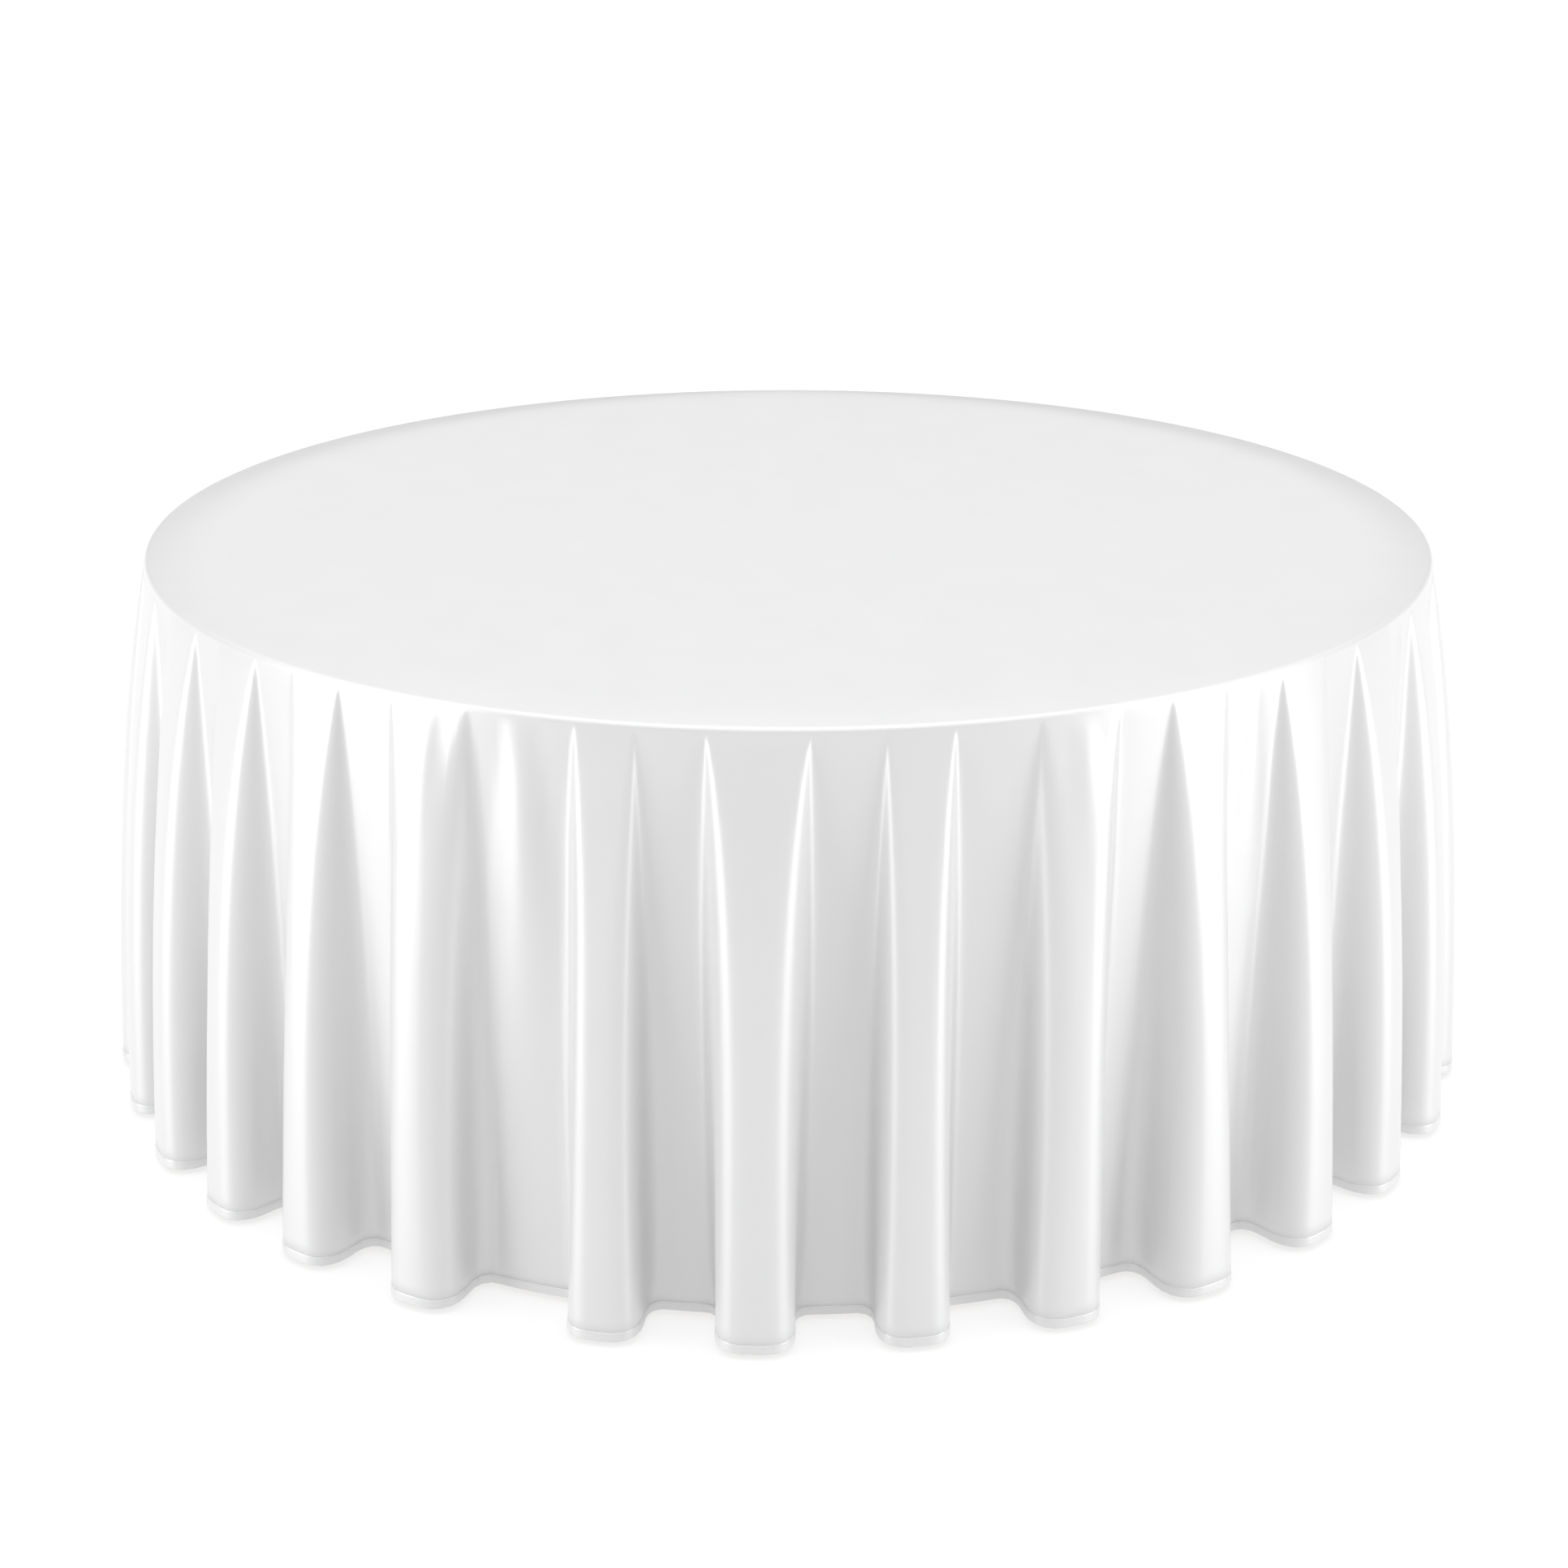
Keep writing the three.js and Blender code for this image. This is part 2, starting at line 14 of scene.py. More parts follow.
import bpy
import numpy as np
from mathutils import Euler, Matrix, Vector


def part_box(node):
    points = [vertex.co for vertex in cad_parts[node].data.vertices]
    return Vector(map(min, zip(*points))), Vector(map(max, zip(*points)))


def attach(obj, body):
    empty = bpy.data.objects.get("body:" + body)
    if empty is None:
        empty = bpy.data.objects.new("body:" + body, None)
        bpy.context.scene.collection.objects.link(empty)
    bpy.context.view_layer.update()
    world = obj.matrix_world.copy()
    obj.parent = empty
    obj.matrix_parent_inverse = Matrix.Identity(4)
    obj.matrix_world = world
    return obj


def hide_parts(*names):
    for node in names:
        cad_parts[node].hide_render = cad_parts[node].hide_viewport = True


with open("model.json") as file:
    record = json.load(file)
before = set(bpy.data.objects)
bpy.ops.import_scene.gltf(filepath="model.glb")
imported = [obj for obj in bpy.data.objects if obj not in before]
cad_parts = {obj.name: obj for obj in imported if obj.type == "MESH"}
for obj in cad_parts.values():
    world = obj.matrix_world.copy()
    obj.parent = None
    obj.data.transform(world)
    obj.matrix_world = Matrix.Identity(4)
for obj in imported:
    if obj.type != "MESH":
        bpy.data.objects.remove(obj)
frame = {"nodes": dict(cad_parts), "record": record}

logging.basicConfig(level=logging.INFO, format="%(message)s")
log = logging.getLogger("tablecloth")

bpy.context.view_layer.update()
FULL_TURN = 2 * math.pi


class Body(Enum):
    """The moving bodies that new pieces ride on."""

    CLOTH = "tablecloth"


class Slot(Enum):
    """The record's material slots."""

    SATIN = "satin"
    PLYWOOD = "plywood"
    BAND = "band"
    TIMBER = "timber"
    STEEL = "painted_steel"
    ZINC = "zinc_steel"
    FOOT = "foot_plastic"


# ---- Node helpers -------------------------------------------------------------------------------


class NodeSheet:
    """A thin wrapper that adds and links shader nodes in one tree."""

    def __init__(self, tree: bpy.types.NodeTree) -> None:
        """Keeps the tree that nodes are added to."""
        self.tree = tree

    def add(self, kind: str, **settings: object) -> bpy.types.Node:
        """Adds a node and sets its properties.

        Args:
            kind: the node's type name.
            settings: property names and values.

        Returns:
            The new node.
        """
        node = self.tree.nodes.new(kind)
        for name, value in settings.items():
            setattr(node, name, value)
        return node

    def link(self, out: bpy.types.NodeSocket, into: bpy.types.NodeSocket) -> None:
        """Links one socket to another."""
        self.tree.links.new(out, into)

    def math(self, operation: str, *values: object) -> bpy.types.NodeSocket:
        """Adds a Math node.

        Args:
            operation: the node's operation.
            values: a socket or a number for each input that the operation takes.

        Returns:
            The node's output socket.
        """
        node = self.add("ShaderNodeMath", operation=operation)
        for index, value in enumerate(values):
            if isinstance(value, bpy.types.NodeSocket):
                self.link(value, node.inputs[index])
            else:
                node.inputs[index].default_value = value
        return node.outputs[0]

    def ramp(self, factor: bpy.types.NodeSocket, stops: list[tuple[float, tuple]]) -> bpy.types.NodeSocket:
        """Adds a colour ramp.

        Args:
            factor: the socket that drives it.
            stops: each stop's place and colour.

        Returns:
            The colour socket.
        """
        node = self.add("ShaderNodeValToRGB")
        elements = node.color_ramp.elements
        while len(elements) < len(stops):
            elements.new(0.5)
        for element, (place, colour) in zip(elements, stops):
            element.position = place
            element.color = (*colour, 1.0)
        self.link(factor, node.inputs["Fac"])
        return node.outputs["Color"]


def shader_group(name: str, inputs: dict[str, float], outputs: dict[str, str]) -> tuple:
    """Starts a shader node group.

    Args:
        name: the group's name.
        inputs: each float input's name and default.
        outputs: each output's name and socket type.

    Returns:
        The group, its NodeSheet, its input node and its output node.
    """
    group = bpy.data.node_groups.new(name, "ShaderNodeTree")
    group.interface.new_socket("Vector", in_out="INPUT", socket_type="NodeSocketVector")
    for label, default in inputs.items():
        socket = group.interface.new_socket(label, in_out="INPUT", socket_type="NodeSocketFloat")
        socket.default_value = default
    for label, kind in outputs.items():
        group.interface.new_socket(label, in_out="OUTPUT", socket_type=kind)
    sheet = NodeSheet(group)
    return group, sheet, sheet.add("NodeGroupInput"), sheet.add("NodeGroupOutput")


def thread_group() -> bpy.types.NodeTree:
    """Builds the weave: long floats along the warp, broken at random, with slow slubs.

    Returns:
        A group with Height, Tone and Gloss outputs.
    """
    group, sheet, entry, leave = shader_group(
        "satin_threads",
        {"Pitch": 0.0008, "Float": 9.0, "Slub": 0.02},
        {"Height": "NodeSocketFloat", "Tone": "NodeSocketFloat", "Gloss": "NodeSocketFloat"},
    )
    across = sheet.math("DIVIDE", 1.0, entry.outputs["Pitch"])
    along = sheet.math("DIVIDE", across, entry.outputs["Float"])
    scale = sheet.add("ShaderNodeCombineXYZ")
    sheet.link(across, scale.inputs["X"])
    sheet.link(along, scale.inputs["Y"])
    scale.inputs["Z"].default_value = 1.0
    stretched = sheet.add("ShaderNodeVectorMath", operation="MULTIPLY")
    sheet.link(entry.outputs["Vector"], stretched.inputs[0])
    sheet.link(scale.outputs[0], stretched.inputs[1])
    floats = sheet.add("ShaderNodeTexNoise", noise_dimensions="2D")
    floats.inputs["Scale"].default_value = 1.0
    floats.inputs["Detail"].default_value = 2.0
    sheet.link(stretched.outputs[0], floats.inputs["Vector"])
    slow = sheet.add("ShaderNodeTexNoise", noise_dimensions="2D")
    slow.inputs["Detail"].default_value = 3.0
    sheet.link(entry.outputs["Vector"], slow.inputs["Vector"])
    sheet.link(sheet.math("DIVIDE", 0.25, entry.outputs["Slub"]), slow.inputs["Scale"])
    sheet.link(floats.outputs["Fac"], leave.inputs["Height"])
    sheet.link(slow.outputs["Fac"], leave.inputs["Tone"])
    sheet.link(sheet.math("MULTIPLY", floats.outputs["Fac"], slow.outputs["Fac"]), leave.inputs["Gloss"])
    return group


def grain_group() -> bpy.types.NodeTree:
    """Builds wood grain: stretched bands bent by slow noise, with fine pores.

    Returns:
        A group with Bands and Pores outputs.
    """
    group, sheet, entry, leave = shader_group(
        "wood_grain",
        {"Bands": 14.0, "Stretch": 9.0},
        {"Bands": "NodeSocketFloat", "Pores": "NodeSocketFloat"},
    )
    scale = sheet.add("ShaderNodeCombineXYZ")
    sheet.link(sheet.math("DIVIDE", 1.0, entry.outputs["Stretch"]), scale.inputs["X"])
    scale.inputs["Y"].default_value = 1.0
    scale.inputs["Z"].default_value = 1.0
    stretched = sheet.add("ShaderNodeVectorMath", operation="MULTIPLY")
    sheet.link(entry.outputs["Vector"], stretched.inputs[0])
    sheet.link(scale.outputs[0], stretched.inputs[1])
    bands = sheet.add("ShaderNodeTexNoise")
    bands.inputs["Detail"].default_value = 4.0
    bands.inputs["Distortion"].default_value = 1.4
    sheet.link(stretched.outputs[0], bands.inputs["Vector"])
    sheet.link(entry.outputs["Bands"], bands.inputs["Scale"])
    pores = sheet.add("ShaderNodeTexNoise")
    pores.inputs["Detail"].default_value = 2.0
    sheet.link(stretched.outputs[0], pores.inputs["Vector"])
    sheet.link(sheet.math("MULTIPLY", entry.outputs["Bands"], 60.0), pores.inputs["Scale"])
    sheet.link(bands.outputs["Fac"], leave.inputs["Bands"])
    sheet.link(pores.outputs["Fac"], leave.inputs["Pores"])
    return group


def speckle_group() -> bpy.types.NodeTree:
    """Builds a fine speckle over slow patches, for coats, plating and moulded skins.

    Returns:
        A group with Fine and Patch outputs.
    """
    group, sheet, entry, leave = shader_group(
        "fine_speckle",
        {"Grain": 0.0006, "Patch": 0.05},
        {"Fine": "NodeSocketFloat", "Patch": "NodeSocketFloat"},
    )
    for label in ("Fine", "Patch"):
        noise = sheet.add("ShaderNodeTexNoise")
        noise.inputs["Detail"].default_value = 3.0
        sheet.link(entry.outputs["Vector"], noise.inputs["Vector"])
        size = entry.outputs["Grain" if label == "Fine" else "Patch"]
        sheet.link(sheet.math("DIVIDE", 1.0, size), noise.inputs["Scale"])
        sheet.link(noise.outputs["Fac"], leave.inputs[label])
    return group


# ---- Finishes -----------------------------------------------------------------------------------


@dataclass(frozen=True)
class Finish:
    """A finish with its own roughness range and a bump."""

    name: str
    roughness: tuple[float, float] = (0.4, 0.5)
    bump: float = 0.0001
    metallic: float = 0.0

    def start(self) -> tuple:
        """Starts the material.

        Returns:
            The material, its NodeSheet and its Principled BSDF.
        """
        material = bpy.data.materials.new(self.name)
        material.use_nodes = True
        sheet = NodeSheet(material.node_tree)
        shader = material.node_tree.nodes["Principled BSDF"]
        shader.inputs["Metallic"].default_value = self.metallic
        return material, sheet, shader

    def rough(self, sheet: NodeSheet, shader: bpy.types.Node, mask: bpy.types.NodeSocket) -> None:
        """Spreads a mask over the roughness range.

        Args:
            sheet: the material's nodes.
            shader: its Principled BSDF.
            mask: a socket that runs from 0 to 1.
        """
        spread = sheet.add("ShaderNodeMapRange")
        spread.inputs["To Min"].default_value = self.roughness[0]
        spread.inputs["To Max"].default_value = self.roughness[1]
        sheet.link(mask, spread.inputs["Value"])
        sheet.link(spread.outputs["Result"], shader.inputs["Roughness"])

    def raise_surface(self, sheet: NodeSheet, shader: bpy.types.Node, height: bpy.types.NodeSocket) -> None:
        """Feeds a height through a bump node to the shader's normal.

        Args:
            sheet: the material's nodes.
            shader: its Principled BSDF.
            height: a socket that runs from 0 to 1.
        """
        bump = sheet.add("ShaderNodeBump")
        bump.inputs["Strength"].default_value = 1.0
        bump.inputs["Distance"].default_value = self.bump
        sheet.link(height, bump.inputs["Height"])
        sheet.link(bump.outputs["Normal"], shader.inputs["Normal"])


@dataclass(frozen=True)
class SatinFinish(Finish):
    """White polyester satin: close-woven, with a gloss that the threads draw out up and down.

    It reads the cloth's flat-cut UV.
    """

    shade: tuple[float, float, float] = (0.646, 0.646, 0.651)
    light: tuple[float, float, float] = (0.653, 0.653, 0.658)
    pitch: float = 0.0008
    ior: float = 2.75
    stretch: float = 0.7
    lie: tuple[float, float, float] = (0.0, 0.06, 1.0)
    sheen: float = 0.05
    sheen_roughness: float = 0.4

    def material(self, threads: bpy.types.NodeTree) -> bpy.types.Material:
        """Builds the material.

        Args:
            threads: the weave group.

        Returns:
            The satin.
        """
        material, sheet, shader = self.start()
        flat = sheet.add("ShaderNodeUVMap", uv_map="flat_cut")
        weave = sheet.add("ShaderNodeGroup", node_tree=threads)
        weave.inputs["Pitch"].default_value = self.pitch
        sheet.link(flat.outputs["UV"], weave.inputs["Vector"])
        tone = sheet.ramp(weave.outputs["Tone"], [(0.3, self.shade), (0.7, self.light)])
        sheet.link(tone, shader.inputs["Base Color"])
        self.rough(sheet, shader, weave.outputs["Gloss"])
        self.raise_surface(sheet, shader, weave.outputs["Height"])
        lie = sheet.add("ShaderNodeCombineXYZ")
        for axis, value in zip("XYZ", self.lie):
            lie.inputs[axis].default_value = value
        sheet.link(lie.outputs[0], shader.inputs["Tangent"])
        shader.inputs["Anisotropic"].default_value = self.stretch
        shader.inputs["IOR"].default_value = self.ior
        shader.inputs["Sheen Weight"].default_value = self.sheen
        shader.inputs["Sheen Roughness"].default_value = self.sheen_roughness
        return material


@dataclass(frozen=True)
class WoodFinish(Finish):
    """Clear-coated timber or plywood with its grain along X or Y."""

    dark: tuple[float, float, float] = (0.36, 0.22, 0.11)
    pale: tuple[float, float, float] = (0.62, 0.44, 0.26)
    bands: float = 14.0
    turn: float = 0.0
    coat: float = 0.25
    coat_roughness: float = 0.3

    def material(self, grain: bpy.types.NodeTree) -> bpy.types.Material:
        """Builds the material.

        Args:
            grain: the grain group.

        Returns:
            The wood.
        """
        material, sheet, shader = self.start()
        place = sheet.add("ShaderNodeTexCoord")
        turned = sheet.add("ShaderNodeMapping")
        turned.inputs["Rotation"].default_value = (0, 0, self.turn)
        sheet.link(place.outputs["Object"], turned.inputs["Vector"])
        node = sheet.add("ShaderNodeGroup", node_tree=grain)
        node.inputs["Bands"].default_value = self.bands
        sheet.link(turned.outputs["Vector"], node.inputs["Vector"])
        colour = sheet.ramp(node.outputs["Bands"], [(0.35, self.dark), (0.6, self.pale)])
        sheet.link(colour, shader.inputs["Base Color"])
        self.rough(sheet, shader, node.outputs["Pores"])
        self.raise_surface(sheet, shader, node.outputs["Pores"])
        shader.inputs["Coat Weight"].default_value = self.coat
        shader.inputs["Coat Roughness"].default_value = self.coat_roughness
        return material


@dataclass(frozen=True)
class SpeckledFinish(Finish):
    """A coat, plating or moulded skin with a fine speckle and slow patches."""

    dark: tuple[float, float, float] = (0.07, 0.075, 0.08)
    pale: tuple[float, float, float] = (0.11, 0.115, 0.12)
    grain: float = 0.0006
    patch: float = 0.05

    def material(self, speckle: bpy.types.NodeTree) -> bpy.types.Material:
        """Builds the material.

        Args:
            speckle: the speckle group.

        Returns:
            The coat.
        """
        material, sheet, shader = self.start()
        place = sheet.add("ShaderNodeTexCoord")
        node = sheet.add("ShaderNodeGroup", node_tree=speckle)
        node.inputs["Grain"].default_value = self.grain
        node.inputs["Patch"].default_value = self.patch
        sheet.link(place.outputs["Object"], node.inputs["Vector"])
        colour = sheet.ramp(node.outputs["Patch"], [(0.35, self.dark), (0.65, self.pale)])
        sheet.link(colour, shader.inputs["Base Color"])
        self.rough(sheet, shader, node.outputs["Patch"])
        self.raise_surface(sheet, shader, node.outputs["Fine"])
        return material


def finishes() -> dict[Slot, bpy.types.Material]:
    """Builds every material of the object.

    Returns:
        Each slot's material.
    """
    threads, grain, speckle = thread_group(), grain_group(), speckle_group()
    return {
        Slot.SATIN: SatinFinish("white_satin", (0.4, 0.44), 0.00001).material(threads),
        Slot.PLYWOOD: WoodFinish(
            "birch_plywood", (0.35, 0.55), 0.0001, dark=(0.58, 0.42, 0.26), pale=(0.74, 0.58, 0.39)
        ).material(grain),
        Slot.TIMBER: WoodFinish(
            "softwood_cleat", (0.5, 0.7), 0.0002, dark=(0.3, 0.18, 0.09), pale=(0.5, 0.34, 0.19),
            bands=30.0, turn=math.pi / 2,
        ).material(grain),
        Slot.BAND: SpeckledFinish(
            "vinyl_edge_band", (0.4, 0.5), 0.00008, dark=(0.035, 0.034, 0.032), pale=(0.05, 0.048, 0.045),
        ).material(speckle),
        Slot.STEEL: SpeckledFinish("powder_coated_steel", (0.35, 0.48), 0.00012).material(speckle),
        Slot.ZINC: SpeckledFinish(
            "zinc_plated_steel", (0.25, 0.4), 0.00004, 0.95, dark=(0.5, 0.51, 0.52), pale=(0.66, 0.67, 0.68),
            patch=0.012,
        ).material(speckle),
        Slot.FOOT: SpeckledFinish(
            "matt_black_foot", (0.6, 0.75), 0.0001, dark=(0.015, 0.015, 0.015), pale=(0.028, 0.028, 0.028),
        ).material(speckle),
    }


# ---- Mesh helpers -------------------------------------------------------------------------------


def grid_faces(rows: int, columns: int, flip: bool = False, offset: int = 0) -> np.ndarray:
    """Numbers the quads of a grid that closes round its columns.

    Args:
        rows: rows of points.
        columns: points in each row.
        flip: True turns the faces over.
        offset: the first point's number.

    Returns:
        Quads as rows of four point numbers.
    """
    row, column = np.meshgrid(np.arange(rows - 1), np.arange(columns), indexing="ij")
    after = (column + 1) % columns
    here, below = row * columns, (row + 1) * columns
    quads = np.stack([here + column, below + column, below + after, here + after], axis=-1).reshape(-1, 4)
    return (quads[:, ::-1] if flip else quads) + offset


def new_mesh(name: str, points: np.ndarray, faces: list[np.ndarray]) -> bpy.types.Object:
    """Makes a smooth-shaded mesh object from arrays.

    Args:
        name: the object's name.
        points: the points, one row each.
        faces: arrays of faces, each with its own count of corners.

    Returns:
        The object, linked to the scene.
    """
    mesh = bpy.data.meshes.new(name)
    corners = np.concatenate([f.ravel() for f in faces])
    sizes = np.concatenate([np.full(len(f), f.shape[1]) for f in faces])
    starts = np.concatenate([[0], np.cumsum(sizes)[:-1]])
    mesh.vertices.add(len(points))
    mesh.vertices.foreach_set("co", points.astype(np.float32).ravel())
    mesh.loops.add(len(corners))
    mesh.loops.foreach_set("vertex_index", corners.astype(np.int32))
    mesh.polygons.add(len(sizes))
    mesh.polygons.foreach_set("loop_start", starts.astype(np.int32))
    mesh.polygons.foreach_set("loop_total", sizes.astype(np.int32))
    mesh.polygons.foreach_set("use_smooth", np.ones(len(sizes), bool))
    mesh.update(calc_edges=True)
    mesh.validate()
    thing = bpy.data.objects.new(name, mesh)
    bpy.context.scene.collection.objects.link(thing)
    return thing


def set_uv(thing: bpy.types.Object, name: str, uv: np.ndarray) -> None:
    """Gives a mesh a UV map.

    Args:
        thing: the mesh object.
        name: the map's name.
        uv: one place per point.
    """
    mesh = thing.data
    corners = np.empty(len(mesh.loops), np.int32)
    mesh.loops.foreach_get("vertex_index", corners)
    mesh.uv_layers.new(name=name).data.foreach_set("uv", uv[corners].astype(np.float32).ravel())


def dress(thing: bpy.types.Object, material: bpy.types.Material, body: Body) -> bpy.types.Object:
    """Gives a new piece its material and the body that it rides on.

    Args:
        thing: the new piece.
        material: its material.
        body: the body that carries it.

    Returns:
        The same piece.
    """
    thing.data.materials.append(material)
    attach(thing, body.value)
    log.info("%s: %d faces, rides on %s", thing.name, len(thing.data.polygons), body.value)
    return thing


# ---- The tablecloth -----------------------------------------------------------------------------


@dataclass(frozen=True)
class FoldPlan:
    """Where the folds stand, as bearings in degrees from the front, positive to the right.

    Each fold is where its two sides leave the table's edge, then where they stand at the hem.
    The folds not named here go round the back, evenly but for a seeded wander. A crease is a small
    ridge beside the folds: its bearing, its height and the depth by which it has faded.
    """

    named: tuple[tuple[float, float, float, float], ...] = (
        (-73.0, -67.2, -72.6, -67.2),
        (-62.0, -55.7, -62.0, -56.4),
        (-51.6, -46.0, -51.8, -46.2),
        (-41.4, -36.2, -41.7, -36.1),
        (-31.0, -24.2, -30.6, -24.9),
        (-15.7, -11.2, -16.2, -10.8),
        (-6.0, 1.6, -5.3, 0.4),
        (7.1, 12.1, 6.4, 11.7),
        (18.7, 25.1, 17.7, 23.2),
        (29.7, 34.9, 28.6, 34.6),
        (41.0, 46.6, 40.5, 46.2),
        (51.2, 57.4, 51.5, 57.1),
        (63.0, 69.2, 63.3, 68.8),
        (74.8, 80.6, 74.8, 80.3),
    )
    creases: tuple[tuple[float, float, float], ...] = (
        (-65.0, 0.007, 0.3),
        (-27.6, 0.008, 0.3),
        (-19.9, 0.014, 0.6),
        (22.0, 0.004, 0.2),
        (37.9, 0.008, 0.35),
        (60.4, 0.007, 0.3),
        (118.0, 0.008, 0.4),
        (171.0, 0.006, 0.3),
        (236.0, 0.009, 0.4),
    )
    count: int = 33
    crest_width: float = 5.7
    hem_share: tuple[float, float] = (0.94, 1.06)
    rim_share: tuple[float, float] = (0.75, 1.2)
    wander: float = 1.0
    seed: int = 11

    def walls(self) -> tuple[np.ndarray, np.ndarray]:
        """Places the two walls of every fold at the table's edge and at the hem.

        Returns:
            Two arrays of bearings in radians, left and right wall for each fold in turn.
        """
        random = np.random.default_rng(self.seed)
        named = np.array(self.named)
        hidden = self.count - len(named)
        first, last = named[-1, 2:].mean(), named[0, 2:].mean() + 360.0
        centres = first + (last - first) * np.arange(1, hidden + 1) / (hidden + 1)
        centres += random.uniform(-self.wander, self.wander, hidden)
        half = 0.5 * self.crest_width * random.uniform(*self.hem_share, (hidden, 2))
        rim_half = 0.5 * self.crest_width * random.uniform(*self.rim_share, (hidden, 2))
        around = np.array([[-1.0, 1.0]])
        rim = np.concatenate([named[:, :2], centres[:, None] + around * rim_half])
        low = np.concatenate([named[:, 2:], centres[:, None] + around * half])
        return np.radians(rim.ravel()), np.radians(low.ravel())


@dataclass(frozen=True)
class Swing:
    """How one wall of a fold turns: the cloth's direction swings away from the edge's and back.

    The swing is a peak angle times half a cosine bell on each side of the wall, broad towards the
    crest and narrow towards the trough, so that crests are round and troughs are flat with tighter
    corners. How much length it takes up is tabled for many peak angles.
    """

    crest_power: float = 1.3
    trough_power: float = 1.0
    peaks: int = 400
    steps: int = 400
    largest: float = 2.0

    def bell(self, place: np.ndarray) -> np.ndarray:
        """The bell's height at a place from -1, the trough's side, to 1, the crest's; 0 beyond."""
        inside = np.sin(0.5 * math.pi * np.clip(1 - np.abs(place), 0, 1))
        return np.where(place > 0, inside**self.crest_power, inside**self.trough_power)

    def taken(self, peak: np.ndarray) -> tuple[np.ndarray, np.ndarray]:
        """Finds the length taken up on the two sides of a wall, per unit of each side's width.

        Args:
            peak: peak angles.

        Returns:
            Length taken up on the crest's side, and on the trough's side.
        """
        angles = np.linspace(0, self.largest, self.peaks)
        place = (np.arange(self.steps) + 0.5) / self.steps
        sides = (1 - np.cos(angles[:, None] * self.bell(p)[None, :]) for p in (place, -place))
        crest, trough = (np.interp(peak, angles, side.mean(axis=1)) for side in sides)
        return crest, trough


@dataclass
class Skirt:
    """The folded skirt, as rows of points from the table's edge to the hem.

    At each depth below the edge the row's length is that of the flat-cut circle, before the creases
    are added. The folds take up what the table's edge doesn't: first narrow dents that widen from a
    point at the edge, then, once they fill the row, waves that deepen to the hem.
    """

    radius: float
    top: float
    drop: float
    flat_start: float
    plan: FoldPlan = field(default_factory=FoldPlan)
    swing: Swing = field(default_factory=Swing)
    rows: int = 44
    columns_per_fold: int = 28
    fine_steps: int = 3600
    crowding: float = 0.8
    trough_share: float = 0.56
    first_swing: float = 0.92
    last_swing: float = 1.66
    largest_swing: float = 1.9
    soft_start: float = 0.004
    narrowest: float = 0.0025
    row_power: float = 1.55
    settle_power: float = 0.6
    least_fill: float = 0.02
    lean: float = 0.8
    crest_reach: float = 0.85
    trough_reach: float = 0.08
    crease_start: float = 0.005
    crease_widening: float = 0.13
    crease_rise: float = 0.03
    rounds: int = 40

    def depths(self) -> np.ndarray:
        """Depths of the rows along the cloth, closer together near the edge."""
        share = np.linspace(0, 1, self.rows)
        return self.drop * share**self.row_power

    def wall_bearings(self, depth: np.ndarray) -> np.ndarray:
        """Moves each wall from its bearing at the edge to that at the hem, quickly and then slowly."""
        rim, low = self.plan.walls()
        share = (depth / self.drop)[:, None] ** self.settle_power
        return rim[None, :] + (low - rim)[None, :] * share

    def spans(self, bearing: np.ndarray) -> np.ndarray:
        """The turn from each wall to the next, all the way round."""
        after = np.concatenate([bearing[:, 1:], bearing[:, :1] + FULL_TURN], axis=1)
        return after - bearing

    def lengths(self, spans: np.ndarray, fill: np.ndarray, peak: np.ndarray) -> tuple[np.ndarray, ...]:
        """Works out the cloth between walls, when each wall takes up length by its swing.

        A wall's width towards the crest is a share of half the crest's cloth, and towards the
        trough a share of that, within half the trough's cloth. The stretches of cloth grow with
        what the walls take up, so the two are worked out in turn.

        Args:
            spans: turn from each wall to the next.
            fill: each row's share of the crest's cloth that its walls fill.
            peak: each row's peak angle.

        Returns:
            Cloth from each wall to the next, and each wall's widths towards its crest and trough.
        """
        crest_take, trough_take = (t[:, None] for t in self.swing.taken(peak))
        reach = np.sin(self.lean * peak)[:, None]
        stretch = self.radius * spans
        for _ in range(self.rounds):
            crest, trough = stretch[:, 0::2], stretch[:, 1::2]
            room = 0.5 * np.minimum(np.roll(trough, 1, axis=1), trough)
            outer = 0.5 * fill[:, None] * crest
            inner = np.minimum(self.trough_share * outer, room * fill[:, None])
            depth = (outer + inner) * reach
            crest = (self.radius + self.crest_reach * depth) * spans[:, 0::2] + 2 * outer * crest_take
            trough = (self.radius + self.trough_reach * depth) * spans[:, 1::2]
            trough = trough + (inner + np.roll(inner, -1, axis=1)) * trough_take
            stretch = np.stack([crest, trough], axis=2).reshape(spans.shape)
        return stretch, np.repeat(outer, 2, axis=1), np.repeat(inner, 2, axis=1)

    def solve(self, depth: np.ndarray, spans: np.ndarray) -> tuple[np.ndarray, ...]:
        """Finds each row's folds, so that the row is as long as the flat-cut circle there.

        One number sets a row: below 1 it is the share that the walls fill, and above 1 they fill it
        all and swing further. It is found by halving.

        Args:
            depth: each row's depth below the edge.
            spans: turn from each wall to the next.

        Returns:
            Cloth from wall to wall, wall widths towards crest and trough, and peak angles.
        """
        target = FULL_TURN * (self.flat_start + depth)
        usual = self.first_swing + (self.last_swing - self.first_swing) * depth / self.drop
        low, high = np.zeros_like(depth), np.full_like(depth, 2.0)
        for _ in range(self.rounds):
            level = 0.5 * (low + high)
            fill = np.clip(level, self.least_fill, 1.0)
            peak = usual + (self.largest_swing - usual) * np.clip(level - 1, 0, 1)
            stretch, outer, inner = self.lengths(spans, fill, peak)
            short = stretch.sum(axis=1) < target
            low, high = np.where(short, level, low), np.where(short, high, level)
        return stretch, outer, inner, peak

